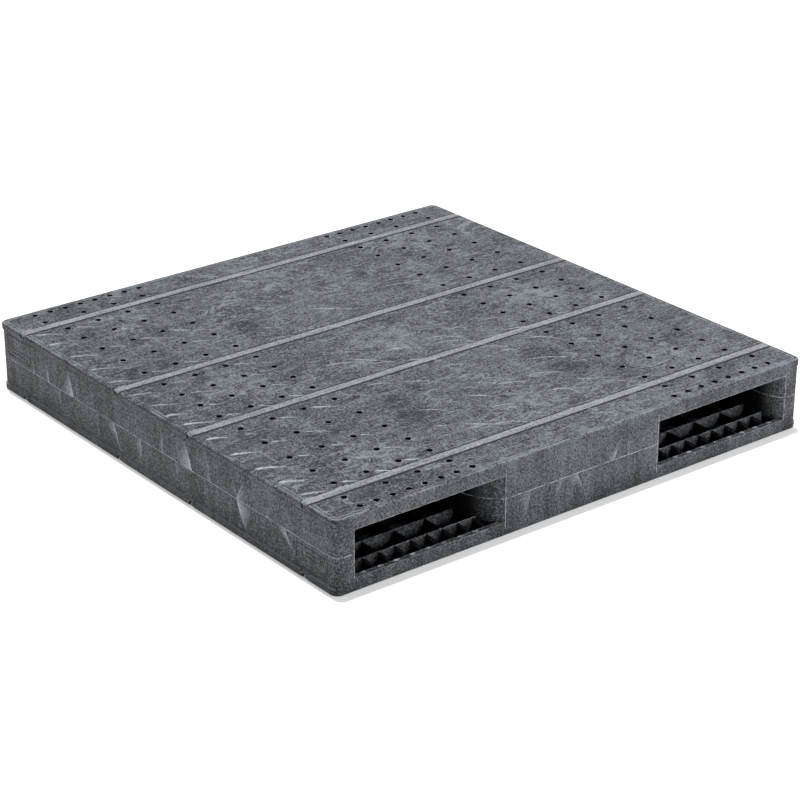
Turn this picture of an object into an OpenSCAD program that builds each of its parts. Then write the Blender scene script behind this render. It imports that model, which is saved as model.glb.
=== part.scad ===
// Reversible plastic pallet for fork entry from two ends. Two identical ribbed
// half mouldings are welded together at mid height, the lower one turned over
// about the X axis. Each deck carries four anti-slip strips laid in grooves.
// Millimetres. Origin: centre of the footprint, on the floor. The forks enter
// along Y, the strips run along X, and +Z is up.

/* [Overall] */
// Length of each side of the square deck
side = 1100; // [1090:1:1110]
// Height over the strips of both decks
height = 144; // [142:1:150]
// How far the strips stand above the deck
strip_proud = 0.6; // [0.4:0.1:1.2]

/* [Mouldings] */
// Thickness of the deck plate
deck_t = 4.4; // [3.6:0.2:5.4]
// Thickness of the outer walls and of the fork tunnel walls
wall_t = 4; // [3:0.5:5]
// Thickness of the stiffening ribs
rib_t = 3; // [2:0.5:4]
// Radius of the four upright corners
corner_r = 16; // [14:1:24]
// Rounding of the deck edge
edge_r = 4; // [3:0.5:5]
// Height of the thick rim below each deck
rim_h = 15; // [12:1:18]
// How far the rim stands out over the side walls
rim_out = 3; // [2:0.5:4]

/* [Fork tunnels] */
// Distance from the middle of the pallet to the middle of a tunnel
tunnel_x = 359.6; // [358:0.1:362]
// Clear width of a tunnel between its straight walls
tunnel_w = 264; // [258:1:268]
// Height of the lip under a tunnel mouth, and of the lintel over it
lip_h = 27.5; // [25:0.5:30]
// Depth of the open rib grid that makes the floor and roof of a tunnel
tunnel_rib_h = 33; // [31:0.5:38]
// Depth of the land along the lip, from the front face inwards
land_d = 9.5; // [8:0.5:12]
// Radius of the corners of a tunnel mouth
mouth_r = 5; // [3:1:12]
// Width of the post between a mouth and the corner of the pallet
post_w = 40.5; // [38:0.5:44]
// How far the inner wall of a tunnel flares out at the mouth
flare_in = 47; // [40:1:54]
// Radius of the flare of the inner wall
flare_in_r = 110; // [100:1:130]
// Radius of the flare of the outer wall
flare_out_r = 80; // [70:1:100]

/* [Drain holes] */
// Diameter of a drain hole
hole_d = 10.5; // [8:0.5:12]
// Distance between two columns of drain holes
hole_pitch = 69.2; // [68.8:0.1:70]
// Chamfer round the top of a drain hole
hole_chamfer = 0.7; // [0.4:0.1:1.2]

/* [Anti-slip strips] */
// Width of a strip
strip_w = 17; // [14:0.5:20]
// Gap between a strip and each side of its groove
strip_gap = 0.8; // [0.5:0.1:1.2]
// Depth of the groove in the deck
groove_d = 3.2; // [2.4:0.2:3.6]

/* [Hidden] */

// Heights
mid_z = height / 2;
deck_z = height - strip_proud;
lintel_z = height - lip_h;
grid_z = height - tunnel_rib_h;
deck_under = deck_z - deck_t;

// Plan of the walls: the side walls stand inside the rim, the end walls a little
edge = side / 2;
end_set_in = 0.6;
wall_x = edge - rim_out;
wall_y = edge - end_set_in;
corner_c = edge - corner_r;
tunnel_in = tunnel_x - tunnel_w / 2;
tunnel_out = tunnel_x + tunnel_w / 2;
mouth_in = tunnel_in - flare_in;
mouth_out = edge - post_w;
mouth_w = mouth_out - mouth_in;
rim_t = wall_t + rim_out;
rim_bevel = 2;

// Centres of the flares, which run from the straight tunnel walls to the end walls
flare_in_c = [tunnel_in - flare_in_r,
              wall_y - flare_in_r * sin(acos(1 - flare_in / flare_in_r))];
flare_out_c = [tunnel_out + flare_out_r,
               wall_y - flare_out_r * sin(acos(1 - (mouth_out - tunnel_out) / flare_out_r))];

// Rib rows along Y from the middle outwards; every row but the middle one is on both sides
rib_rows = [0, 60, 120, 194, 268, 342, 402, 462, 509];
last_rib = rib_rows[8];
second_last_rib = rib_rows[7];
centre_ribs = [-112, 0, 112];

// A drain hole sits in the middle of each cell over a tunnel
hole_rows = [for (i = [0:len(rib_rows) - 2]) (rib_rows[i] + rib_rows[i + 1]) / 2];
last_hole_row = len(hole_rows) - 1;
end_hole_row = (last_rib + wall_y - wall_t) / 2;
half_pitch = hole_pitch / 2;
outer_hole_shift = 19;

// Strips lie over two of the rib rows on each side
strip_rows = [rib_rows[2], second_last_rib];
groove_w = strip_w + 2 * strip_gap;
strip_half = edge - 1.5;
strip_end_bevel = 2.5;
bed_w = groove_w + 2 * rib_t;
bed_t = 4;
slot_w = 13;
slot_h = 6.5;
slot_l = 5;
peg_r = 1.8;
peg_h = 5;
peg_x = -edge + 2.8;
strip_chamfer = 0.6;

// Injection gates, three by three, each a shallow dish with a stub in it
gate_rows = [-rib_rows[6], 0, rib_rows[6]];
gate_columns = [-tunnel_x, 0, tunnel_x];
gate_dish_r = 7;
gate_dish_d = 0.6;
gate_stub_r = 3;
gate_stub_low = 0.1;

// Blank identification panel outlined on one side wall of each moulding
panel_y = [437, 525];
panel_z = [81, 124.5];
panel_line = 2.2;
panel_depth = 0.8;
panel_bar_y = [466, 508];
panel_bar_z = [90, 98];

wall_steps = 12;
edge_steps = 5;
over = 1;

// Points along an arc of an ellipse with centre c and half axes a, b
function arc(c, a, b, from, to, steps) =
    [for (i = [0:steps]) let (t = from + (to - from) * i / steps) c + [a * cos(t), b * sin(t)]];

// The same points in reverse order, mirrored by the signs sx and sy
function mirrored(points, sx, sy) =
    [for (i = [len(points) - 1:-1:0]) [sx * points[i][0], sy * points[i][1]]];

// Plan of the block between the tunnels, with a flare at each of its four corners.
// inset moves the whole outline inwards.
module centre_block(inset) {
    r = flare_in_r - inset;
    end = asin((wall_y - inset - flare_in_c[1]) / r);
    rear_right = arc(flare_in_c, r, r, 0, end, wall_steps);
    right = concat(mirrored(rear_right, 1, -1), rear_right);
    polygon(concat(right, mirrored(right, -1, 1)));
}

// Plan of the block outside one tunnel: pallet corners outwards, flares inwards
module side_block(inset) {
    corner = arc([corner_c, corner_c], wall_x - corner_c - inset, wall_y - corner_c - inset,
                 0, 90, wall_steps);
    r = flare_out_r - inset;
    end = asin((wall_y - inset - flare_out_c[1]) / r);
    rear = concat(corner, arc(flare_out_c, r, r, 180 - end, 180, wall_steps));
    polygon(concat(rear, mirrored(rear, 1, -1)));
}

module blocks(inset) {
    centre_block(inset);
    side_block(inset);
    mirror([1, 0]) side_block(inset);
}

// One line of ribs on each side of the middle, or the middle one alone
module rib_line(x_from, x_to, y) {
    for (s = y == 0 ? [1] : [-1, 1])
        translate([x_from, s * y - rib_t / 2]) square([x_to - x_from, rib_t]);
}

// Walls and ribs that reach the weld plane
module deep_plan() {
    difference() {
        blocks(0);
        blocks(wall_t);
    }
    intersection() {
        blocks(wall_t / 2);
        union() {
            for (y = rib_rows) rib_line(-wall_x, wall_x, y);
            for (x = centre_ribs)
                translate([x - rib_t / 2, -wall_y]) square([rib_t, 2 * wall_y]);
        }
    }
}

// Shallow ribs that make the open grid over a tunnel; the end cells are half as wide
module grid_plan() {
    inner_y = wall_y - land_d;
    difference() {
        union() {
            for (y = rib_rows) rib_line(tunnel_in - over, tunnel_out + over, y);
            rib_line(mouth_in, mouth_out, last_rib);
            rib_line(mouth_in, mouth_out, second_last_rib);
            for (k = [-1:1])
                translate([tunnel_x + k * hole_pitch - rib_t / 2, -last_rib])
                    square([rib_t, 2 * last_rib]);
            for (k = [-4:4], s = [-1, 1])
                translate([tunnel_x + k * half_pitch - rib_t / 2,
                           s > 0 ? last_rib : -inner_y - over])
                    square([rib_t, inner_y + over - last_rib]);
        }
        centre_block(wall_t / 2);
        side_block(wall_t / 2);
    }
}

// Section of the deck edge and rim: x runs outwards over the corner radius, y is height
module rim_section() {
    r = corner_r;
    polygon(concat(
        [[0, deck_under], [r - rim_t, deck_under], [r - rim_t, deck_z - rim_h],
         [r - rim_out, deck_z - rim_h], [r, deck_z - rim_h + rim_bevel]],
        arc([r - edge_r, deck_z - edge_r], edge_r, edge_r, 0, 90, edge_steps),
        [[0, deck_z]]));
}

// Deck plate with its rim: a middle slab, four straight edges, four turned corners
module deck_and_rim() {
    translate([-corner_c, -corner_c, deck_under])
        cube([2 * corner_c, 2 * corner_c, deck_t]);
    for (a = [0:90:270]) rotate([0, 0, a]) translate([corner_c, corner_c, 0]) {
        rotate([90, 0, 0]) linear_extrude(2 * corner_c) rim_section();
        rotate_extrude(angle = 90, $fn = 96) rim_section();
    }
}

// Lintel over one tunnel mouth, in the plane of the end wall, with rounded corners below
module lintel() {
    top = deck_z - edge_r;
    rotate([90, 0, 0]) linear_extrude(wall_t) difference() {
        translate([mouth_in, mid_z]) square([mouth_w, top - mid_z]);
        translate([mouth_in, mid_z - over]) square([mouth_w, lintel_z - mouth_r - mid_z + over]);
        translate([mouth_in + mouth_r, lintel_z - mouth_r - over])
            square([mouth_w - 2 * mouth_r, mouth_r + over]);
        for (x = [mouth_in + mouth_r, mouth_out - mouth_r])
            translate([x, lintel_z - mouth_r]) circle(r = mouth_r, $fn = 48);
    }
}

// Flat land behind the lip, which ends the ribs of the grid
module land() {
    land_t = 5;
    translate([0, 0, lintel_z]) linear_extrude(land_t) difference() {
        translate([mouth_in, -wall_y + wall_t / 2]) square([mouth_w, land_d - wall_t / 2]);
        centre_block(wall_t / 2);
        side_block(wall_t / 2);
    }
}

// Slope that lets the fork ride from the lip on to the rib grid
module lead_in_cut() {
    drop = lintel_z - grid_z;
    run = 2 * drop;
    rotate([90, 0, 90]) linear_extrude(2 * edge, center = true)
        polygon([[-wall_y, grid_z - over], [-wall_y, lintel_z],
                 [-wall_y + land_d, lintel_z], [-wall_y + land_d + run, grid_z],
                 [-wall_y + land_d + run, grid_z - over]]);
}

module tunnel_grid() {
    difference() {
        translate([0, 0, grid_z]) linear_extrude(deck_under + over - grid_z) grid_plan();
        lead_in_cut();
        mirror([0, 1, 0]) lead_in_cut();
    }
}

// Everything that belongs to the tunnel on the +X side
module tunnel() {
    tunnel_grid();
    for (s = [0, 1]) mirror([0, s, 0]) {
        translate([0, -wall_y + wall_t, 0]) lintel();
        land();
    }
}

// Bore of one drain hole, chamfered at the deck
module drain_hole() {
    r = hole_d / 2;
    low = deck_under - over;
    rotate_extrude($fn = 36)
        polygon([[0, low], [r, low], [r, deck_z - hole_chamfer], [r + hole_chamfer, deck_z],
                 [r + hole_chamfer, deck_z + over], [0, deck_z + over]]);
}

// Drain holes over the tunnel on the +X side
module drain_holes() {
    for (s = [-1, 1]) {
        for (i = [0:last_hole_row], k = [-1.5:1.5]) {
            shift = i == last_hole_row && k > 1 ? outer_hole_shift : 0;
            translate([tunnel_x + k * hole_pitch + shift, s * hole_rows[i], 0]) drain_hole();
        }
        for (k = [-3.5:3.5])
            translate([tunnel_x + k * half_pitch, s * end_hole_row, 0]) drain_hole();
    }
}

// Groove for one strip, with the open slot for its peg under the left end
module groove() {
    floor_z = deck_z - groove_d;
    translate([-edge - over, -groove_w / 2, floor_z])
        cube([2 * (edge + over), groove_w, groove_d + over]);
    translate([-edge - over, -slot_w / 2, floor_z - slot_h])
        cube([slot_l + over, slot_w, slot_h + over]);
}

// Thicker bed that carries the groove under the deck
module groove_bed() {
    length = 2 * (edge - rim_t + over);
    translate([-length / 2, -bed_w / 2, deck_under - bed_t])
        cube([length, bed_w, bed_t + over]);
}

// Dish round one gate; the stub left in it ends just under the deck
module gate() {
    floor_z = deck_z - gate_dish_d;
    stub_z = deck_z - gate_stub_low;
    difference() {
        translate([0, 0, floor_z]) cylinder(h = gate_dish_d + over, r = gate_dish_r, $fn = 48);
        translate([0, 0, floor_z - over])
            cylinder(h = stub_z - floor_z + over, r = gate_stub_r, $fn = 36);
    }
}

// Lines sunk into the side wall round a blank panel, with two plain bars inside it
module panel_lines() {
    y0 = panel_y[0];
    y1 = panel_y[1];
    z0 = panel_z[0];
    z1 = panel_z[1];
    x0 = -wall_x - over;
    deep = panel_depth + over;
    difference() {
        translate([x0, y0, z0]) cube([deep, y1 - y0, z1 - z0]);
        translate([x0 - over, y0 + panel_line, z0 + panel_line])
            cube([deep + 2 * over, y1 - y0 - 2 * panel_line, z1 - z0 - 2 * panel_line]);
    }
    for (z = panel_bar_z)
        translate([x0, panel_bar_y[0], z])
            cube([deep, panel_bar_y[1] - panel_bar_y[0], panel_line]);
}

// One half moulding in its upper position
module half_moulding() {
    difference() {
        union() {
            translate([0, 0, mid_z]) linear_extrude(deck_under + over - mid_z) deep_plan();
            deck_and_rim();
            tunnel();
            mirror([1, 0, 0]) tunnel();
            for (y = strip_rows, s = [-1, 1]) translate([0, s * y, 0]) groove_bed();
        }
        drain_holes();
        mirror([1, 0, 0]) drain_holes();
        for (y = strip_rows, s = [-1, 1]) translate([0, s * y, 0]) groove();
        for (x = gate_columns, y = gate_rows) translate([x, y, 0]) gate();
        panel_lines();
    }
}

// The lower half is the same moulding turned over about the X axis
module turned_over() {
    translate([0, 0, height]) rotate([180, 0, 0]) children();
}

module upper_half_moulding() {
    color([0.22, 0.235, 0.255]) half_moulding();
}

module lower_half_moulding() {
    color([0.19, 0.2, 0.22]) turned_over() half_moulding();
}

// One strip on the upper deck: a bar with bevelled edges and ends, and under its
// left end a peg that hangs in the slot in the rim
module strip(y) {
    w = strip_w / 2;
    c = strip_chamfer;
    l = strip_half;
    e = strip_end_bevel;
    floor_z = deck_z - groove_d;
    color([0.58, 0.6, 0.62]) translate([0, y, 0]) {
        intersection() {
            rotate([90, 0, 90]) linear_extrude(2 * l, center = true)
                polygon([[-w, floor_z], [w, floor_z], [w, height - c], [w - c, height],
                         [c - w, height], [-w, height - c]]);
            rotate([90, 0, 0]) linear_extrude(strip_w, center = true)
                polygon([[-l, floor_z], [l, floor_z], [l, height - e], [l - e, height],
                         [e - l, height], [-l, height - e]]);
        }
        translate([peg_x, 0, floor_z - peg_h]) cylinder(h = peg_h + over, r = peg_r, $fn = 36);
    }
}

upper_half_moulding();
lower_half_moulding();
strip(-strip_rows[1]);  // top_strip_front
strip(-strip_rows[0]);  // top_strip_mid_front
strip(strip_rows[0]);  // top_strip_mid_rear
strip(strip_rows[1]);  // top_strip_rear
turned_over() strip(strip_rows[1]);  // bottom_strip_front
turned_over() strip(strip_rows[0]);  // bottom_strip_mid_front
turned_over() strip(-strip_rows[0]);  // bottom_strip_mid_rear
turned_over() strip(-strip_rows[1]);  // bottom_strip_rear
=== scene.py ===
import math
import random

import bmesh
import bpy
from mathutils import Matrix, Vector, noise


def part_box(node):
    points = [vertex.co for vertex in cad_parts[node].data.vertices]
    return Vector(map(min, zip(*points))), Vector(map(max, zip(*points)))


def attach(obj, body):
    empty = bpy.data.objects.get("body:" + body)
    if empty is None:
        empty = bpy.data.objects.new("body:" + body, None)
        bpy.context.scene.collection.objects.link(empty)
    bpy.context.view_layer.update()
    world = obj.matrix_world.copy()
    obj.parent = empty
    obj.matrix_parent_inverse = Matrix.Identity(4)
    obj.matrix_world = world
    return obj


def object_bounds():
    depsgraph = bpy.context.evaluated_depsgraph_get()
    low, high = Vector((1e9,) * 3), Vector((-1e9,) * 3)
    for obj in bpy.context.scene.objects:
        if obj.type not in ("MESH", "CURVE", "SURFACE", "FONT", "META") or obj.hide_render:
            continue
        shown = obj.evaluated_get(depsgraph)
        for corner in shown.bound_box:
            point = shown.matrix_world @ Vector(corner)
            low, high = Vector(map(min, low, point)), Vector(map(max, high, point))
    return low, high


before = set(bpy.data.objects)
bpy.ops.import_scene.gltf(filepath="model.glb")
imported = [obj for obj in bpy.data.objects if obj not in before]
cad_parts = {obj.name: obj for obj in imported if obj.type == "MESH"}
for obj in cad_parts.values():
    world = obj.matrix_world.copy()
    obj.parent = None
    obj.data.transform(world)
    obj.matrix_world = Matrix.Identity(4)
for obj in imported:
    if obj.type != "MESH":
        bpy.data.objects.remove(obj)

LOW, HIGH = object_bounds()

# ------------------------------------------------------------ places, in metres, from the frame
EDGE = HIGH.x
TOP = HIGH.z
MID_Z = TOP / 2
DECK_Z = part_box("upper_half_moulding")[1].z
STRIP_NODES = [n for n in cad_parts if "strip" in n]
MOULDINGS = ("upper_half_moulding", "lower_half_moulding")

# The plan of the mouldings, as the CAD model has it
MM = 0.001
WALL_X = EDGE - 3 * MM
WALL_Y = EDGE - 0.6 * MM
CORNER_C = EDGE - 16 * MM
TUNNEL_X = 359.6 * MM
TUNNEL_IN = TUNNEL_X - 132 * MM
TUNNEL_OUT = TUNNEL_X + 132 * MM
MOUTH_IN = TUNNEL_IN - 47 * MM
MOUTH_OUT = EDGE - 40.5 * MM
LIP_H = 27.5 * MM
RIM_LOW = DECK_Z - 15 * MM - MID_Z
FLARE_IN_R = 110 * MM
FLARE_OUT_R = 80 * MM
HOLE_PITCH = 69.2 * MM
HOLE_R = 5.25 * MM
OUTER_HOLE_SHIFT = 19 * MM
RIB_ROWS = [y * MM for y in (0, 60, 120, 194, 268, 342, 402, 462, 509)]
HOLE_ROWS = [(a + b) / 2 for a, b in zip(RIB_ROWS, RIB_ROWS[1:])]
END_HOLE_ROW = (RIB_ROWS[-1] + WALL_Y - 4 * MM) / 2
STRIP_ROWS = (RIB_ROWS[2], RIB_ROWS[7])
RIB_COLUMNS = [0, 112 * MM, TUNNEL_IN, TUNNEL_X - HOLE_PITCH, TUNNEL_X, TUNNEL_X + HOLE_PITCH, TUNNEL_OUT]
GATE_STEP = (TUNNEL_X, RIB_ROWS[6])

# Where the visual model adds to the CAD model
HOLE_LIP_R = HOLE_R + 0.75 * MM
GATE_R = 2.6 * MM
SKIN = 6 * MM                     # depth below a deck face at which the inside begins
STRIP_EDGE = 9.3 * MM             # from the middle of a strip to the edge of its groove
SOFT_SPOTS = ((183 * MM, 232 * MM), (183 * MM, 300 * MM))
SHARP_ANGLE = math.radians(32)
FLOOR_HALF = 14.0

# Colours and lights
PLASTIC_DARK = (0.016, 0.0175, 0.020)
PLASTIC_LIGHT = (0.165, 0.178, 0.197)
PLASTIC_WHITENED = (0.38, 0.40, 0.43)
RUBBER_DARK = (0.08, 0.087, 0.095)
RUBBER_LIGHT = (0.255, 0.27, 0.29)
FLOOR_DARK = (0.68, 0.68, 0.68)
FLOOR_LIGHT = (0.72, 0.72, 0.72)
SKY = (0.97, 0.985, 1.0, 1)
KEY_TOWARDS = Vector((0.035, 0.133, 1.0))
CAMERA_PLACE = (-2.63986, -3.35956, 1.94171)
CAMERA_ANGLES = (36.5576, 24.0744, -0.6339)     # azimuth, elevation, roll in degrees


# ------------------------------------------------------------ material graphs
class Graph:
    """A material's node tree, with one short call for each kind of node."""

    def __init__(self, name):
        self.material = bpy.data.materials.new(name)
        self.material.use_nodes = True
        self.nodes = self.material.node_tree.nodes
        self.links = self.material.node_tree.links
        self.shader = self.nodes["Principled BSDF"]
        self.place = self.nodes.new("ShaderNodeTexCoord").outputs["Object"]

    def feed(self, socket, value):
        """Links value to the socket if it is another socket, or sets it as a constant."""
        if isinstance(value, bpy.types.NodeSocket):
            self.links.new(value, socket)
        else:
            socket.default_value = value

    def math(self, operation, a, b=0.0, c=0.0, clamp=False):
        node = self.nodes.new("ShaderNodeMath")
        node.operation = operation
        node.use_clamp = clamp
        for socket, value in zip(node.inputs, (a, b, c)):
            self.feed(socket, value)
        return node.outputs[0]

    def add(self, *values):
        total = values[0]
        for value in values[1:]:
            total = self.math("ADD", total, value)
        return total

    def times(self, *values):
        total = values[0]
        for value in values[1:]:
            total = self.math("MULTIPLY", total, value)
        return total

    def minus(self, a, b):
        return self.math("SUBTRACT", a, b)

    def over(self, a, b):
        return self.math("DIVIDE", a, b)

    def larger(self, a, b):
        return self.math("MAXIMUM", a, b)

    def smaller(self, a, b):
        return self.math("MINIMUM", a, b)

    def size(self, value):
        return self.math("ABSOLUTE", value)

    def clamped(self, value):
        return self.math("ADD", value, 0.0, clamp=True)

    def around(self, noise, gain):
        """The noise with its mean moved to 0, times gain."""
        return self.times(self.minus(noise, 0.5), gain)

    def ramp(self, value, start, end, low=0.0, high=1.0):
        """Smooth step from low at start to high at end."""
        node = self.nodes.new("ShaderNodeMapRange")
        node.interpolation_type = "SMOOTHSTEP"
        for socket, number in zip(node.inputs, (value, start, end, low, high)):
            self.feed(socket, number)
        return node.outputs[0]

    def split(self, vector):
        node = self.nodes.new("ShaderNodeSeparateXYZ")
        self.feed(node.inputs[0], vector)
        return node.outputs[0], node.outputs[1], node.outputs[2]

    def join(self, x, y, z=0.0):
        node = self.nodes.new("ShaderNodeCombineXYZ")
        for socket, value in zip(node.inputs, (x, y, z)):
            self.feed(socket, value)
        return node.outputs[0]

    def stretched(self, vector, scale, turn=0.0):
        """The vector turned about Z by an angle in degrees and scaled along each axis."""
        node = self.nodes.new("ShaderNodeMapping")
        self.feed(node.inputs["Vector"], vector)
        node.inputs["Rotation"].default_value = (0, 0, math.radians(turn))
        node.inputs["Scale"].default_value = scale
        return node.outputs[0]

    def noise(self, vector, scale, detail=2.0, roughness=0.5, distortion=0.0, seed=0.0):
        """Perlin noise about 0.5."""
        node = self.nodes.new("ShaderNodeTexNoise")
        node.noise_dimensions = "4D"
        self.feed(node.inputs["Vector"], vector)
        node.inputs["W"].default_value = seed
        node.inputs["Scale"].default_value = scale
        node.inputs["Detail"].default_value = detail
        node.inputs["Roughness"].default_value = roughness
        node.inputs["Distortion"].default_value = distortion
        return node.outputs["Fac"]

    def attribute(self, name):
        """A number that a mesh carries at each of its points, or 0 on a mesh without it."""
        node = self.nodes.new("ShaderNodeAttribute")
        node.attribute_name = name
        return node.outputs["Fac"]

    def bump(self, height, distance, strength=1.0, normal=None):
        node = self.nodes.new("ShaderNodeBump")
        node.inputs["Strength"].default_value = strength
        node.inputs["Distance"].default_value = distance
        self.feed(node.inputs["Height"], height)
        if normal is not None:
            self.feed(node.inputs["Normal"], normal)
        return node.outputs[0]

    def colour(self, factor, dark, light, blend="MIX"):
        node = self.nodes.new("ShaderNodeMix")
        node.data_type = "RGBA"
        node.blend_type = blend
        # a mix node has one set of sockets for each data type; these are the colour ones
        self.feed(node.inputs[0], factor)
        for socket, value in ((node.inputs[6], dark), (node.inputs[7], light)):
            self.feed(socket, (*value, 1) if isinstance(value, tuple) else value)
        return node.outputs[2]

    def finish(self, colour, roughness, normal):
        self.feed(self.shader.inputs["Base Color"], colour)
        self.feed(self.shader.inputs["Roughness"], roughness)
        self.feed(self.shader.inputs["Normal"], normal)
        return self.material


def near_lines(g, value, places, inner, outer):
    """1 on any of the lines where value is one of the places, 0 further off than outer."""
    nearest = None
    for place in places:
        gap = g.size(g.minus(value, place))
        nearest = gap if nearest is None else g.smaller(nearest, gap)
    return g.ramp(nearest, inner, outer, 1.0, 0.0)


def distance(g, dx, dy):
    return g.math("SQRT", g.add(g.times(dx, dx), g.times(dy, dy)))


def around_gates(g, x, y):
    """Distance to the nearest gate, and a streaky pattern that runs out from it."""
    offsets = []
    for value, step in zip((x, y), GATE_STEP):
        index = g.math("ROUND", g.over(value, step))
        index = g.larger(g.smaller(index, 1.0), -1.0)
        offsets.append(g.minus(value, g.times(index, step)))
    reach = distance(g, *offsets)
    unit = [g.over(offset, g.add(reach, 0.004)) for offset in offsets]
    # the third axis keeps the nine patterns apart
    apart = g.add(g.times(reach, 26.0), g.times(x, 3.0), y)
    rays = g.join(g.times(unit[0], 3.4), g.times(unit[1], 3.4), apart)
    return reach, g.noise(rays, 1.5, detail=6, roughness=0.7, distortion=0.8, seed=3.1)


def edge_distance(g, ax, ay):
    """How far a point of the deck lies in from the rounded outline of the pallet."""
    over_x = g.minus(ax, CORNER_C)
    over_y = g.minus(ay, CORNER_C)
    outside = distance(g, g.larger(over_x, 0.0), g.larger(over_y, 0.0))
    inside = g.smaller(g.larger(over_x, over_y), 0.0)
    return g.minus(EDGE - CORNER_C, g.add(outside, inside))


def wisps(g, vector, scale, width, seed, distortion=1.6):
    """Thin crooked lines where a distorted noise crosses its mean."""
    field = g.noise(vector, scale, detail=2.5, roughness=0.5, distortion=distortion, seed=seed)
    return g.ramp(g.size(g.minus(field, 0.5)), 0.0, width, 1.0, 0.0)


def deck_pattern(g, x, y):
    """How much lighter or darker the deck is than its mean, painted highlights and painted shade included, and the
    height of its wrinkles.
    """
    ax, ay = g.size(x), g.size(y)
    clouds = g.noise(g.place, 8.0, detail=7, roughness=0.62, distortion=0.9, seed=1.3)
    patches = g.noise(g.place, 38.0, detail=5, roughness=0.68, distortion=0.6, seed=5.9)
    streaks = g.noise(g.stretched(g.place, (15.0, 75.0, 40.0), turn=16), 1.0, detail=6, roughness=0.66,
                      distortion=0.9, seed=3.7)
    mottle = g.noise(g.stretched(g.place, (48.0, 150.0, 60.0), turn=30), 1.0, detail=4, roughness=0.72,
                     distortion=0.6, seed=8.8)
    # round each gate: painted shade in its pit, a darker disc, whitish rays, and scorched patches further out
    reach, rays = around_gates(g, x, y)
    gate = g.add(g.times(g.ramp(reach, 4 * MM, 5.5 * MM, 1.0, 0.0), -1.2),
                 g.times(g.ramp(reach, 12 * MM, 20 * MM, 1.0, 0.0), -0.2))
    burst = g.times(g.ramp(reach, 12 * MM, 105 * MM, 1.0, 0.0), g.ramp(rays, 0.42, 0.66))
    scorch = g.times(g.ramp(reach, 35 * MM, 60 * MM), g.ramp(reach, 70 * MM, 140 * MM, 1.0, 0.0),
                     g.ramp(patches, 0.52, 0.34))
    # dark soft spots beside each tunnel
    spots = None
    for across, along in SOFT_SPOTS:
        away = distance(g, g.minus(ax, across), g.minus(ay, along))
        spot = g.ramp(away, 10 * MM, 58 * MM, 1.0, 0.0)
        spots = spot if spots is None else g.larger(spots, spot)
    ribs = g.larger(near_lines(g, ax, RIB_COLUMNS, 0.8 * MM, 3 * MM),
                    near_lines(g, ay, RIB_ROWS, 0.8 * MM, 3 * MM))
    # wrinkles where the melt front folded, most of them across the way that the melt ran
    fold = g.times(wisps(g, g.stretched(g.place, (0.55, 1.3, 1.0), turn=26), 13.0, 0.03, 8.4),
                   g.ramp(g.noise(g.place, 11.0, seed=2.2), 0.47, 0.62))
    hairs = g.times(wisps(g, g.place, 30.0, 0.03, 6.6),
                    g.ramp(g.noise(g.place, 16.0, seed=7.7), 0.45, 0.65))
    # creases: thin crooked lines painted darker, as the shade in them
    crease_shade = g.times(wisps(g, g.stretched(g.place, (0.5, 1.5, 1.0), turn=18), 17.0, 0.022, 1.9),
                      g.ramp(g.noise(g.place, 9.0, seed=4.9), 0.46, 0.6))
    # two painted highlight lines along the rim, broken but whole round the corners
    near_corner = g.times(g.ramp(ax, EDGE - 100 * MM, EDGE - 30 * MM),
                          g.ramp(ay, EDGE - 60 * MM, EDGE - 10 * MM))
    unbroken = g.larger(g.ramp(g.noise(g.place, 14.0, detail=3, seed=0.9), 0.44, 0.62), near_corner)
    from_edge = edge_distance(g, ax, ay)
    rim_highlight = g.times(near_lines(g, from_edge, (3.6 * MM, 10.5 * MM), 0.6 * MM, 2.4 * MM), unbroken)
    # painted shade in the gaps beside the strips, more of it on one side
    rows = [end * row for row in STRIP_ROWS for end in (-1, 1)]
    gap = g.larger(near_lines(g, y, [row - STRIP_EDGE - 1.6 * MM for row in rows], 2.1 * MM, 3.5 * MM),
                   near_lines(g, y, [row + STRIP_EDGE + 0.6 * MM for row in rows], 1.3 * MM, 2.5 * MM))
    light = g.add(g.around(clouds, 0.55), g.around(patches, 0.45), g.around(mottle, 1.5),
                  g.around(streaks, 0.9), g.times(burst, 0.95), g.times(scorch, -0.35), g.times(spots, -0.27), gate,
                  g.times(ribs, g.ramp(clouds, 0.4, 0.6), 0.32), g.times(fold, 0.7), g.times(hairs, 0.7),
                  g.times(crease_shade, -0.55), rim_highlight, g.times(gap, -1.1), g.ramp(x, -0.5, -0.1, -0.14, -0.01))
    height = g.add(fold, g.times(hairs, 0.5), patches, mottle, streaks, g.times(burst, 0.4),
                   g.times(ribs, -0.25))
    return light, height


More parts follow.
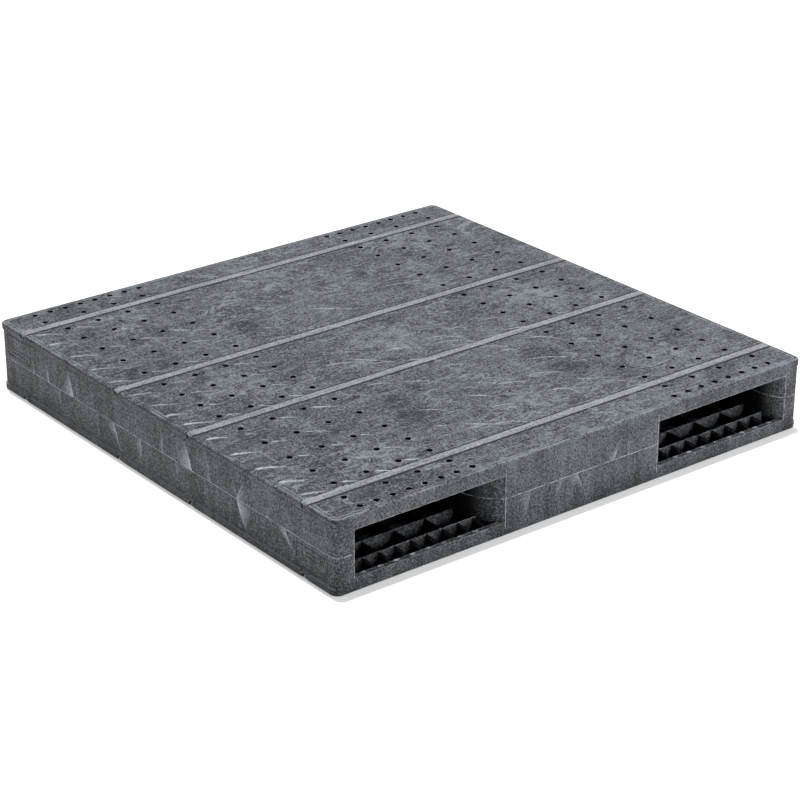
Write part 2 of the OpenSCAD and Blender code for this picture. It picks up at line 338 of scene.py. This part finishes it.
def wall_pattern(g, x, y, z):
    """The same for the upright walls: soft upright streaks, painted shade towards the floor, and along the side
    walls a painted highlight at the lower edge of the upper rim with painted shadow lines under it and at the foot
    of the rounded top edge. Painted shade also darkens the upright corners and, a little, the side walls."""
    ax, ay = g.size(x), g.size(y)
    streaks = g.noise(g.stretched(g.place, (48.0, 48.0, 6.0)), 1.0, detail=5, roughness=0.62, seed=4.4)
    clouds = g.noise(g.place, 13.0, detail=5, roughness=0.6, distortion=0.8, seed=6.1)
    height = g.minus(z, MID_Z)
    side = g.ramp(ax, WALL_X - 8 * MM, WALL_X - 2 * MM)
    # painted shade: darker towards the floor, more so on the side walls
    shade_towards_floor = g.times(g.ramp(z, 0.0, 68 * MM, 1.0, 0.0), g.ramp(side, 0.0, 1.0, -0.15, -0.31))
    # a painted highlight along the lower edge of the upper rim, broken up by the clouds
    lighter_edge = g.times(side, near_lines(g, height, (RIM_LOW + 2.2 * MM,), 0.4 * MM, 1.4 * MM),
                   g.ramp(clouds, 0.4, 0.6))
    # painted shadow lines under the upper rim and at the foot of the rounded top edge
    shadow_lines = g.times(side, near_lines(g, height, (RIM_LOW - MM, MID_Z - 4.6 * MM), 0.6 * MM, 2 * MM))
    # painted shade on the upright corners
    corner = g.times(g.ramp(ax, EDGE - 45 * MM, EDGE - 20 * MM), g.ramp(ay, EDGE - 30 * MM, EDGE - 8 * MM))
    # the side walls are a little darker than the end walls, as painted shade
    light = g.add(g.around(streaks, 1.1), g.around(clouds, 1.0), shade_towards_floor, g.times(lighter_edge, 0.3),
                  g.times(shadow_lines, -0.35), g.times(corner, -0.17), g.times(side, -0.03))
    return light, streaks


def painted_lit_wedge(g, ax, into, rise):
    """Painted light and shade on a cross rib: 1 on the part that the ribs beside it would leave lit, wide at its
    crest and narrow below, and 0.12 as painted shade on the rest.
    """
    cell = g.ramp(into, 55 * MM, 65 * MM, HOLE_PITCH / 2, HOLE_PITCH)
    across = g.math("FRACT", g.over(g.minus(ax, TUNNEL_X - 4 * HOLE_PITCH), cell))
    across = g.size(g.minus(across, 0.5))
    return g.ramp(g.minus(across, g.add(0.2, g.times(rise, 0.3))), -0.02, 0.03, 1.0, 0.12)


def shade_inside(g, x, y, z, normal):
    """Painted shade and painted highlights inside the pallet: the share of the colour left at each place, 1
    outside, far less on what lies inside, more than 1 on the lit rib crests and land.
    """
    _, ny, nz = (g.size(part) for part in g.split(normal))
    ax, ay = g.size(x), g.size(y)
    from_edge = edge_distance(g, ax, ay)
    height = g.size(g.minus(z, MID_Z))
    into = g.minus(WALL_Y, ay)
    level = g.ramp(nz, 0.55, 0.85)
    deck = DECK_Z - MID_Z
    crest_height = MID_Z - LIP_H
    # upright faces, painted light and shade: the ribs that face the mouth keep their colour in a painted lit wedge,
    # up to 1.3 times, and all that runs inwards is painted dark as shade
    rise = g.over(g.minus(deck - SKIN, height), deck - SKIN - crest_height)
    facing = g.times(g.ramp(ny, 0.75, 0.95), g.ramp(into, 100 * MM, 140 * MM, 1.3, 0.06),
                     painted_lit_wedge(g, ax, into, rise), g.ramp(rise, 0.0, 0.5))
    running = g.times(g.ramp(ny, 0.95, 0.75), g.ramp(into, 0.0, 55 * MM, 1.0, 0.03),
                      g.ramp(height, crest_height - MM, crest_height + 0.5 * MM, 1.0, 0.12))
    upright = g.larger(facing, running)
    # level faces: painted highlights on the crests of the two outer cross ribs and on the land behind the lip, and
    # painted shade beyond the land
    crest = g.times(near_lines(g, ay, RIB_ROWS[-2:], 1.6 * MM, 1.8 * MM),
                    g.ramp(into, 60 * MM, 120 * MM, 3.0, 2.2))
    land = g.ramp(into, 9.5 * MM, 10.5 * MM, 1.7, 0.05)
    left = g.add(g.times(level, g.larger(crest, land)), g.times(g.minus(1.0, level), upright))
    # the bores of the drain holes are painted dark, as shade
    bore = g.times(g.ramp(height, deck - SKIN - 0.2 * MM, deck - SKIN + 0.8 * MM), g.ramp(nz, 0.85, 0.78),
                   g.ramp(from_edge, 9 * MM, 12 * MM))
    left = g.times(left, g.ramp(bore, 0.0, 1.0, 1.0, 0.05))
    sunk = g.ramp(height, deck - SKIN - 0.2 * MM, deck - SKIN + 1.5 * MM, 1.0, 0.0)
    inner = g.larger(g.times(sunk, g.ramp(from_edge, 3.5 * MM, 6 * MM)), bore)
    return g.add(1.0, g.times(inner, g.minus(left, 1.0)))


def moulded_plastic(name, dark, light, white):
    """Injection moulded plastic: clouded flow marks, fine pitting, worn edges, and painted light and shade, darker
    inside.
    """
    g = Graph(name)
    x, y, z = g.split(g.place)
    normal = g.nodes.new("ShaderNodeNewGeometry").outputs["True Normal"]
    aside, _, tilt = (g.size(part) for part in g.split(normal))
    deck_light, deck_height = deck_pattern(g, x, y)
    wall_light, wall_height = wall_pattern(g, x, y, z)
    flat = g.ramp(tilt, 0.55, 0.85)
    upright = g.minus(1.0, flat)
    pattern = g.add(g.times(deck_light, flat), g.times(wall_light, upright))
    # painted light on the ledge of the lower rim, which lies in the shade of the upper rim
    ledge = g.times(g.ramp(g.size(x), WALL_X - 1.5 * MM, WALL_X - 0.5 * MM), g.ramp(z, 50 * MM, 40 * MM))
    pattern = g.add(pattern, g.times(ledge, flat, 0.9))
    height = g.add(g.times(deck_height, flat), g.times(wall_height, upright, 0.7))
    grain = g.noise(g.place, 260.0, detail=3, roughness=0.85, seed=0.0)
    pits = g.noise(g.place, 900.0, detail=1, seed=4.0)
    lighter_edge = g.times(g.ramp(tilt, 0.1, 0.35), g.ramp(tilt, 0.98, 0.8), g.ramp(pattern, -0.3, 0.3))
    speckle = g.around(grain, g.add(g.times(flat, 0.4), g.times(aside, 1.4), 4.4))
    tone = g.add(0.4, pattern, speckle, g.times(lighter_edge, 0.25))
    colour = g.colour(g.clamped(tone), dark, light)
    whitening = g.times(g.attribute("whitening"), g.ramp(grain, 0.2, 0.6))
    colour = g.colour(g.clamped(whitening), colour, white)
    # painted shade inside multiplies the colour down; whitened marks near the end walls keep up to 0.9 of their
    # brightness through it
    whitening_through_shade = g.times(whitening, g.ramp(g.size(y), WALL_Y - 100 * MM, WALL_Y - 40 * MM, 0.1, 0.9))
    left = g.larger(shade_inside(g, x, y, z, normal), whitening_through_shade)
    colour = g.colour(1.0, colour, g.join(left, left, left), blend="MULTIPLY")
    rough = g.add(0.6, g.around(grain, 0.5), g.times(pattern, -0.08))
    bumps = g.bump(g.add(g.times(grain, 0.8), g.times(pits, 0.3)), 0.8 * MM, 0.8)
    bumps = g.bump(height, 1.8 * MM, 0.6, bumps)
    g.shader.inputs["Specular IOR Level"].default_value = 0.18
    return g.finish(colour, g.clamped(rough), bumps)


def strip_rubber(name, dark, light):
    """Light grey elastomer with long smears and a few dark scuffs."""
    g = Graph(name)
    smears = g.noise(g.stretched(g.place, (14.0, 120.0, 120.0)), 1.0, detail=6, roughness=0.68, seed=1.7)
    grain = g.noise(g.place, 420.0, detail=2, roughness=0.7, seed=9.2)
    scuffs = g.noise(g.stretched(g.place, (260.0, 40.0, 40.0), turn=12), 1.0, detail=1, seed=2.9)
    marks = g.times(g.ramp(scuffs, 0.66, 0.74), g.ramp(g.noise(g.place, 9.0, seed=0.6), 0.5, 0.62))
    tone = g.add(0.5, g.around(smears, 2.7),
                 g.around(grain, 6.0), g.times(marks, -0.6))
    colour = g.colour(g.clamped(tone), dark, light)
    rough = g.add(0.62, g.around(grain, 0.3))
    normal = g.bump(g.add(g.times(grain, 0.5), g.times(smears, 0.6)), 0.6 * MM, 0.5)
    return g.finish(colour, rough, normal)


# ------------------------------------------------------------ pieces
def add_piece(name, bm, material, whitening=None):
    """Makes the finished mesh a piece of the pallet; whitening gives a number for each vertex."""
    bmesh.ops.recalc_face_normals(bm, faces=bm.faces)
    mesh = bpy.data.meshes.new(name)
    bm.to_mesh(mesh)
    bm.free()
    mesh.shade_smooth()
    mesh.materials.append(material)
    if whitening is not None:
        mesh.attributes.new("whitening", "FLOAT", "POINT").data.foreach_set("value", whitening)
    piece = bpy.data.objects.new(name, mesh)
    bpy.context.scene.collection.objects.link(piece)
    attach(piece, "root")
    return piece


def skin(bm, rings, closed_path, closed_ring):
    """Quads between rings of points; the ends are filled where the path is open."""
    grid = [[bm.verts.new(point) for point in ring] for ring in rings]
    count = len(grid[0])
    for i in range(len(grid) if closed_path else len(grid) - 1):
        here, there = grid[i], grid[(i + 1) % len(grid)]
        for j in range(count if closed_ring else count - 1):
            k = (j + 1) % count
            bm.faces.new((here[j], here[k], there[k], there[j]))
    if closed_ring and not closed_path:
        bm.faces.new(grid[0][::-1])
        bm.faces.new(grid[-1])


def turned_over(point):
    """Where a point of the upper half comes to lie in the lower one."""
    return Vector((point[0], -point[1], TOP - point[2]))


def as_is(point):
    return Vector(point)


HALVES = {"top": as_is, "bottom": turned_over}


def drain_holes():
    """Centres of all drain holes of one deck."""
    places = []
    for side in (-1, 1):
        for end in (-1, 1):
            for row in HOLE_ROWS:
                for k in (-1.5, -0.5, 0.5, 1.5):
                    shift = OUTER_HOLE_SHIFT if row == HOLE_ROWS[-1] and k > 1 else 0
                    places.append((side * (TUNNEL_X + k * HOLE_PITCH + shift), end * row))
            for k in range(8):
                places.append((side * (TUNNEL_X + (k - 3.5) * HOLE_PITCH / 2), end * END_HOLE_ROW))
    return places


def round_point(place, cx, cy, r, angle, up):
    """A point over the deck at a radius and an angle about a centre."""
    return place((cx + r * math.cos(angle), cy + r * math.sin(angle), DECK_Z + up))


def make_hole_rims(half, place, material):
    """The low uneven lip that the core pin leaves round each drain hole."""
    bm = bmesh.new()
    whitening = []
    steps = 24
    for cx, cy in drain_holes():
        rings = []
        for i in range(steps):
            a = 2 * math.pi * i / steps
            lump = 0.5 + noise.noise(Vector((cx * 40 + math.cos(a), cy * 40 + math.sin(a), 0.3)))
            top = (0.03 + 0.22 * max(lump, 0)) * MM
            profile = ((0, -0.3 * MM), (0.1 * MM, top * 0.8), (0.5 * MM, top), (MM, top * 0.4),
                       (1.5 * MM, -0.1 * MM))
            rings.append([round_point(place, cx, cy, HOLE_LIP_R + out, a, up) for out, up in profile])
            whitening += [1.6 * max(lump - 0.55, 0)] * len(profile)
        skin(bm, rings, True, True)
    return add_piece("drain_hole_rims_" + half, bm, material, whitening)


def make_gate_vestiges(half, place, material):
    """The broken stubs of the sprues: a ragged ring round a pit at each of the nine gates."""
    bm = bmesh.new()
    whitening = []
    steps = 20
    for cx in (-GATE_STEP[0], 0, GATE_STEP[0]):
        for cy in (-GATE_STEP[1], 0, GATE_STEP[1]):
            rings = []
            for i in range(steps):
                a = 2 * math.pi * i / steps
                lump = 0.5 + noise.noise(Vector((cx * 9 + math.cos(a), cy * 9 + math.sin(a), 2.3)))
                top = (0.12 + 0.35 * max(lump, 0)) * MM
                r = GATE_R + 0.9 * lump * MM
                profile = ((-0.9 * MM, -0.2 * MM), (-0.5 * MM, top), (0.5 * MM, top * 0.8),
                           (1.3 * MM, -0.2 * MM))
                rings.append([round_point(place, cx, cy, r + out, a, up) for out, up in profile])
                whitening += [4.5 * max(lump - 0.35, 0)] * len(profile)
            skin(bm, rings, True, True)
    return add_piece("gate_vestiges_" + half, bm, material, whitening)


def arc_points(centre, radius, start, end, steps):
    """Points and outward normals along an arc, angles in radians."""
    angles = [start + (end - start) * i / steps for i in range(steps + 1)]
    return [(Vector((centre[0] + radius[0] * math.cos(a), centre[1] + radius[1] * math.sin(a))),
             Vector((math.cos(a), math.sin(a)))) for a in angles]


def flare_centre(tunnel_wall, mouth, radius):
    """Centre of a flare that leaves the tunnel wall smoothly and meets the end wall at the mouth."""
    inwards = 1 if mouth > tunnel_wall else -1
    turn = math.acos(1 - abs(mouth - tunnel_wall) / radius)
    return (tunnel_wall + inwards * radius, WALL_Y - radius * math.sin(turn)), turn


def block_outlines():
    """The plan outlines of the three blocks of walls, as points with outward normals."""
    centre, turn = flare_centre(TUNNEL_IN, MOUTH_IN, FLARE_IN_R)
    quarter = arc_points(centre, (FLARE_IN_R, FLARE_IN_R), 0, turn, 24)
    half = [mirrored(p, 1, -1) for p in reversed(quarter)] + quarter
    middle = half + [mirrored(p, -1, 1) for p in reversed(half)]
    centre, turn = flare_centre(TUNNEL_OUT, MOUTH_OUT, FLARE_OUT_R)
    corner = arc_points((CORNER_C, CORNER_C), (WALL_X - CORNER_C, WALL_Y - CORNER_C), 0, math.pi / 2, 12)
    rear = corner + arc_points(centre, (FLARE_OUT_R, FLARE_OUT_R), math.pi - turn, math.pi, 16)
    right = rear + [mirrored(p, 1, -1) for p in reversed(rear)]
    left = [mirrored(p, -1, 1) for p in reversed(right)]
    return middle, right, left


def mirrored(point, sx, sy):
    place, normal = point
    return Vector((sx * place.x, sy * place.y)), Vector((sx * normal.x, sy * normal.y))


def resampled(outline, step):
    """The closed outline with points no further apart than step."""
    points = []
    for (a, na), (b, nb) in zip(outline, outline[1:] + outline[:1]):
        count = max(1, math.ceil((b - a).length / step))
        for i in range(count):
            t = i / count
            points.append((a.lerp(b, t), na.lerp(nb, t).normalized()))
    return points


def make_weld_bead(material):
    """The thin broken bead that the hot plates squeeze out where the halves are welded together."""
    bm = bmesh.new()
    whitening = []
    # share of the half width, share of the height, depth of the sunk edges
    section = ((-1, 0, 0.3 * MM), (-0.6, 0.7, 0), (0, 1, 0), (0.6, 0.7, 0), (1, 0, 0.3 * MM))
    for outline in block_outlines():
        rings = []
        for place, normal in resampled(outline, 3 * MM):
            at = Vector((place.x, place.y, 0))
            swell = noise.noise(at * 38) + 0.6 * noise.noise(at * 150)
            stand = (0.3 + 0.3 * swell) * MM
            half = (0.9 + 0.5 * noise.noise(at * 90 + Vector((0, 0, 5)))) * MM
            drift = 0.5 * noise.noise(at * 24 + Vector((0, 0, 9))) * MM
            out = Vector((normal.x, normal.y, 0))
            rings.append([Vector((place.x, place.y, MID_Z + drift + up * half))
                          + out * (stand * share - sink) for up, share, sink in section])
            whitening += [min(max(0.9 + swell, 0.15), 1.5)] * len(section)
        skin(bm, rings, True, True)
    return add_piece("weld_bead", bm, material, whitening)


def make_mouth_lines(material):
    """Witness lines of the tunnel core: up the inner edge of each mouth over lintel and lip, and a finer one round
    the other three edges. Their whitening is partly whitened flash and partly a painted highlight along the edges
    of the mouth."""
    bm = bmesh.new()
    whitening = []
    inset = 0.5 * MM
    for side in (-1, 1):
        for end in (-1, 1):
            low, high = LIP_H - inset, TOP - LIP_H + inset
            inner, outer = MOUTH_IN, MOUTH_OUT + inset
            for start, stop, width, white in (((inner, 5 * MM), (inner, TOP - 5 * MM), 0.75, 0.9),
                                              ((outer, low), (outer, high), 0.6, 1.0),
                                              ((inner, high), (outer, high), 0.5, 0.8),
                                              ((inner, low), (outer, low), 0.5, 0.45)):
                start, stop = Vector(start), Vector(stop)
                count = math.ceil((stop - start).length / (2.5 * MM))
                along = (stop - start).normalized()
                across = Vector((-along.y, along.x))
                rings = []
                for i in range(count + 1):
                    at = start.lerp(stop, i / count)
                    lump = noise.noise(Vector((side * 3 + at.x * 110, end * 5, at.y * 110)))
                    half = (width + 0.35 * lump) * MM
                    stand = (0.32 + 0.2 * lump) * MM
                    section = ((-half, -0.4 * MM), (-half / 2, 0.7 * stand), (half / 2, 0.7 * stand),
                               (half, -0.4 * MM))
                    rings.append([Vector((side * (at.x + across.x * reach), end * (WALL_Y + up),
                                          at.y + across.y * reach)) for reach, up in section])
                    # whitening: partly flash, partly painted highlight of the mouth edges
                    whitening += [max(white + 0.15 + 0.7 * lump, 0)] * len(section)
                skin(bm, rings, False, True)
    return add_piece("mouth_witness_lines", bm, material, whitening)


# Sections of folds: share of the width, share of the height (None is sunk), share of the whitening
STROKE = ((-1, None, 0), (-0.5, 0.3, 0.22), (-0.16, 0.9, 1), (0.14, 1, 1), (0.5, 0.35, 0.3), (1, None, 0))
FAN = ((-1, None, 0), (-0.4, 0.6, 0.5), (0, 1, 1), (0.07, 0.8, 0.75), (0.25, 0.5, 0.45), (0.5, 0.35, 0.28),
       (0.75, 0.25, 0.12), (1, None, 0))
FILM = ((-1, None, 0), (-0.8, 0.9, 1), (0, 1, 1), (0.8, 0.9, 1), (1, None, 0))


def ribbon(bm, whitening, surface, stations, section):
    """A thin raised band on a surface; each station is a place, the way across, the widths on both
    sides, a height and a whitening."""
    rings = []
    for a, b, da, db, back, front, height, white in stations:
        ring = []
        for share, up, tint in section:
            reach = share * (back if share < 0 else front)
            ring.append(surface(a + da * reach, b + db * reach, -0.1 * MM if up is None else up * height))
            whitening.append(white * tint)
        rings.append(ring)
    skin(bm, rings, False, True)


def stroke(bm, whitening, surface, start, heading, length, bend, width, white, head=0.15):
    """One curved fold on the deck, fullest near its start and tapered to its end."""
    turn = math.radians(heading)
    along = Vector((math.cos(turn), math.sin(turn)))
    across = Vector((-along.y, along.x))
    steps = 16
    stations = []
    for i in range(steps + 1):
        t = i / steps
        swell = min(t / head, 1) * (1 - t) ** 0.75
        wobble = 1.2 * MM * noise.noise(Vector((start[0] * 50, start[1] * 50, t * 4)))
        at = Vector(start) + along * (length * t) + across * (bend * 4 * t * (1 - t) + wobble)
        half = width / 2 * (0.25 + 0.75 * swell)
        rough = 1 + 0.5 * noise.noise(Vector((start[0] * 70, start[1] * 70, t * 14)))
        stations.append((at.x, at.y, across.x, across.y, half, half, (0.06 + 0.2 * swell) * MM,
                         white * swell * rough))
    ribbon(bm, whitening, surface, stations, STROKE)


def make_wrinkles(half, place, material, draw):
    """Folds in the skin of one deck: short ones in from the left edge, tails behind the drain
    holes, crescents beside them, and long arcs between the ribs of the middle."""
    bm = bmesh.new()
    whitening = []

    def deck(a, b, h):
        return place((a, b, DECK_Z + h))

    def fold(x, y, *shape):
        stroke(bm, whitening, deck, (x, y), *shape)

    for end in (-1, 1):
        for row in HOLE_ROWS[:-1]:
            near = 1.0 if end < 0 else 0.65
            y = end * row + draw.uniform(-0.006, 0.01)
            fold(-EDGE + draw.uniform(0.007, 0.012), y, draw.uniform(-32, -20), draw.uniform(0.05, 0.08),
                 draw.uniform(0.002, 0.007), draw.uniform(0.014, 0.022), near * draw.uniform(1.2, 1.8))
            for k in (-1.5, -0.5, 0.5):
                if draw.random() < 0.8 * near:
                    fold(-TUNNEL_X + k * HOLE_PITCH + 0.011, end * row + draw.uniform(-0.004, -0.001),
                         draw.uniform(-40, -27), draw.uniform(0.03, 0.065), draw.uniform(0.0, 0.004),
                         draw.uniform(0.006, 0.012), near * draw.uniform(0.9, 1.8))
                if draw.random() < 0.45 * near:
                    fold(-TUNNEL_X + k * HOLE_PITCH - 0.006, end * row + draw.uniform(0.0145, 0.017),
                         draw.uniform(-46, -34), 0.028, 0.003, 0.007, near * draw.uniform(0.7, 1.4), 0.5)
            if draw.random() < 0.8:
                fold(-TUNNEL_IN + draw.uniform(0.002, 0.012), end * row + draw.uniform(-0.004, 0.008),
                     draw.uniform(-55, -35), draw.uniform(0.018, 0.034), 0.001, 0.005,
                     near * draw.uniform(0.4, 0.8))
            for column in (-0.18, -0.13, -0.08, -0.03, 0.02, 0.07, 0.12, 0.17):
                if draw.random() < 0.85 * near:
                    fold(column + draw.uniform(-0.02, 0.02), end * row + draw.uniform(-0.022, 0.022),
                         draw.uniform(-50, -14), draw.uniform(0.04, 0.13), draw.uniform(-0.002, 0.026),
                         draw.uniform(0.008, 0.016), near * draw.uniform(0.5, 1.3), 0.4)
            for k in (-1.5, -0.5, 0.5, 1.5):
                if draw.random() < 0.35:
                    fold(TUNNEL_X + k * HOLE_PITCH + 0.01, end * row - 0.002, draw.uniform(-44, -25),
                         draw.uniform(0.025, 0.05), 0.002, 0.008, draw.uniform(0.3, 0.8), 0.3)
    return add_piece("flow_wrinkles_" + half, bm, material, whitening)


# Fans on the left wall: place along it, above (1) or below (-1) the weld, height, lean of the tip,
# spread of the glow and the side that it lies on, whitening
LEFT_FANS = ((369, 1, 50, 13, 16, 1, 0.7), (281, 1, 50, 18, 40, 1, 1.2),
             (429, 1, 40, 12, 10, -1, 0.5), (-265, 1, 52, 26, 12, 1, 0.45),
             (-263, 1, 40, -24, 34, -1, 0.7), (-263, -1, 56, -30, 46, -1, 1.3),
             (-404, -1, 42, -38, 22, 1, 1.1), (-181, 1, 56, 12, 14, 1, 0.5),
             (-122, 1, 52, 24, 56, 1, 1.3), (135, -1, 52, -24, 34, 1, 0.9),
             (45, -1, 46, 1, 18, 1, 0.8), (-30, 1, 48, 2, 16, 1, 0.55),
             (192, -1, 50, 1, 14, 1, 0.4), (-357, 1, 30, 6, 12, 1, 0.4),
             (330, -1, 50, -4, 20, 1, 0.45), (-70, -1, 40, -6, 18, -1, 0.4))


def make_fans(material, draw):
    """Fans on the walls, where the melt fronts ran down into the weld plane and folded."""
    bm = bmesh.new()
    whitening = []
    walls = {"left": lambda a, b, h: Vector((-WALL_X - h, a, b)),
             "right": lambda a, b, h: Vector((WALL_X + h, a, b)),
             "front": lambda a, b, h: Vector((a, -WALL_Y - h, b)),
             "back": lambda a, b, h: Vector((a, WALL_Y + h, b))}
    fans = [("left", *fan) for fan in LEFT_FANS]
    for wall, reach, count in (("right", 480, 15), ("front", 150, 5), ("back", 150, 5)):
        for i in range(count):
            at = reach * (2 * (i + draw.uniform(0.2, 0.8)) / count - 1)
            fans.append((wall, at, draw.choice((-1, 1)), draw.uniform(32, 54), draw.uniform(-26, 26),
                         draw.uniform(12, 38), draw.choice((-1, 1)), draw.uniform(0.2, 0.7)))
    steps = 14
    for wall, at, way, rise, lean, spread, side, white in fans:
        stations = []
        for i in range(steps + 1):
            t = i / steps
            fade = (1 - t) ** 0.6
            glow = spread * fade * (0.35 + 0.65 * math.sin(math.pi * min(t + 0.2, 1)))
            rough = 1 + 0.5 * noise.noise(Vector((at, t * 5, rise)))
            stations.append(((at + lean * t ** 1.4) * MM, MID_Z + way * (rise * t + 0.6) * MM, side, 0,
                             1.4 * MM, (2 + glow) * MM, (0.08 + 0.16 * fade) * MM, 1.3 * white * fade * rough))
        ribbon(bm, whitening, walls[wall], stations, FAN)
    return add_piece("weld_fans", bm, material, whitening)


def make_strip_flash(half, place, material):
    """Thin ragged films of strip rubber on the deck beside the left ends of the strips."""
    bm = bmesh.new()

    def deck(a, b, h):
        return place((a, b, DECK_Z + h))

    # place from the left edge, length and reach of each film
    films = ((6 * MM, 22 * MM, 7 * MM), (62 * MM, 40 * MM, 3.5 * MM))
    steps = 18
    for row in STRIP_ROWS:
        for end in (-1, 1):
            y = end * row
            fullness = 1.3 if abs(y + STRIP_ROWS[1]) < MM else 0.8
            for from_edge, length, reach in films:
                start = -EDGE + from_edge
                stations = []
                for i in range(steps + 1):
                    t = i / steps
                    ragged = max(0.35 + 0.9 * noise.noise(Vector((t * 7, y * 30, start * 40))), 0.05)
                    out = reach * ragged * min(t * 6, (1 - t) * 6, 1) * fullness
                    stations.append((start + length * t, y + 8.3 * MM, 0, 1, 0.3 * MM, 1.2 * MM + out,
                                     0.35 * MM, 0))
                ribbon(bm, [], deck, stations, FILM)
    return add_piece("strip_flash_" + half, bm, material)


# ------------------------------------------------------------ shading of the CAD nodes
def shade_by_angle(limit):
    """Node group that joins the loose facets of a CAD mesh and keeps only real edges sharp."""
    tree = bpy.data.node_groups.new("shade_by_angle", "GeometryNodeTree")
    for way in ("INPUT", "OUTPUT"):
        tree.interface.new_socket("Geometry", in_out=way, socket_type="NodeSocketGeometry")
    start = tree.nodes.new("NodeGroupInput")
    end = tree.nodes.new("NodeGroupOutput")
    weld = tree.nodes.new("GeometryNodeMergeByDistance")
    weld.inputs["Distance"].default_value = 1e-6
    angle = tree.nodes.new("GeometryNodeInputMeshEdgeAngle")
    sharp = tree.nodes.new("FunctionNodeCompare")
    sharp.operation = "GREATER_THAN"
    sharp.inputs["B"].default_value = limit
    normals = tree.nodes.new("GeometryNodeSetMeshNormal")
    normals.mode = "SHARPNESS"
    normals.inputs["Remove Custom"].default_value = True
    link = tree.links.new
    link(start.outputs[0], weld.inputs["Geometry"])
    link(angle.outputs["Unsigned Angle"], sharp.inputs["A"])
    link(weld.outputs["Geometry"], normals.inputs["Mesh"])
    link(sharp.outputs[0], normals.inputs["Edge Sharpness"])
    link(normals.outputs[0], end.inputs[0])
    return tree


def dress(node, material, shading):
    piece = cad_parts[node]
    for slot in piece.material_slots:
        slot.material = material
    smooth = piece.modifiers.new("shade_by_angle", "NODES")
    smooth.node_group = shading
    weighted = piece.modifiers.new("weighted_normals", "WEIGHTED_NORMAL")
    weighted.keep_sharp = True
    weighted.weight = 100


# ------------------------------------------------------------ stage
def make_floor():
    mesh = bpy.data.meshes.new("floor")
    corners = [(x * FLOOR_HALF, y * FLOOR_HALF, 0) for x, y in ((-1, -1), (1, -1), (1, 1), (-1, 1))]
    mesh.from_pydata(corners, [], [(0, 1, 2, 3)])
    floor = bpy.data.objects.new("floor", mesh)
    bpy.context.scene.collection.objects.link(floor)
    g = Graph("pale_floor")
    tone = g.noise(g.place, 0.8, detail=3, seed=0.3)
    g.shader.inputs["Emission Color"].default_value = (1, 1, 1, 1)
    g.shader.inputs["Emission Strength"].default_value = 0.35
    mesh.materials.append(g.finish(g.colour(tone, FLOOR_DARK, FLOOR_LIGHT), 0.75,
                                   g.bump(g.noise(g.place, 60.0, detail=2), 0.0004, 0.3)))


def make_light():
    world = bpy.data.worlds.new("studio")
    bpy.context.scene.world = world
    world.use_nodes = True
    world.node_tree.nodes["Background"].inputs["Color"].default_value = SKY
    world.node_tree.nodes["Background"].inputs["Strength"].default_value = 0.45
    key = bpy.data.lights.new("key", "SUN")
    key.energy = 3.5
    key.angle = math.radians(2.5)
    lamp = bpy.data.objects.new("key", key)
    lamp.rotation_euler = KEY_TOWARDS.to_track_quat("Z", "Y").to_euler()
    lamp.location = KEY_TOWARDS * 3
    bpy.context.scene.collection.objects.link(lamp)
    add_softbox("front_softbox", (1.3, -3.3, 1.2), (2.2, 1.4), 46)
    add_softbox("back_softbox", (1.9, 2.5, 2.4), (3.2, 1.2), 12)


def add_softbox(name, place, size, power):
    """A soft rectangular light that faces the pallet."""
    box = bpy.data.lights.new(name, "AREA")
    box.shape = "RECTANGLE"
    box.size, box.size_y = size
    box.energy = power
    lamp = bpy.data.objects.new(name, box)
    lamp.location = place
    lamp.rotation_euler = Vector(place).to_track_quat("Z", "Y").to_euler()
    bpy.context.scene.collection.objects.link(lamp)


def make_camera():
    """A long lens that looks down on the corner between the left wall and the front wall."""
    azimuth, elevation, roll = (math.radians(angle) for angle in CAMERA_ANGLES)
    data = bpy.data.cameras.new("camera")
    data.lens = 108.378
    data.sensor_width = 36
    data.shift_x = 0.08743
    data.shift_y = -0.01038
    data.clip_end = 60
    camera = bpy.data.objects.new("camera", data)
    turn = (Matrix.Rotation(-azimuth, 4, "Z") @ Matrix.Rotation(math.pi / 2 - elevation, 4, "X")
            @ Matrix.Rotation(roll, 4, "Z"))
    camera.matrix_world = Matrix.Translation(CAMERA_PLACE) @ turn
    bpy.context.scene.collection.objects.link(camera)
    bpy.context.scene.camera = camera


shading = shade_by_angle(SHARP_ANGLE)
plastic = moulded_plastic("moulded_plastic_look", PLASTIC_DARK, PLASTIC_LIGHT, PLASTIC_WHITENED)
rubber = strip_rubber("strip_elastomer_look", RUBBER_DARK, RUBBER_LIGHT)
for node in MOULDINGS:
    dress(node, plastic, shading)
for node in STRIP_NODES:
    dress(node, rubber, shading)
draw = random.Random(7)
for half, place in HALVES.items():
    make_hole_rims(half, place, plastic)
    make_gate_vestiges(half, place, plastic)
    make_wrinkles(half, place, plastic, draw)
    make_strip_flash(half, place, rubber)
make_fans(plastic, draw)
make_weld_bead(plastic)
make_mouth_lines(plastic)

make_floor()
make_light()
make_camera()
bpy.context.scene.view_settings.view_transform = "Standard"
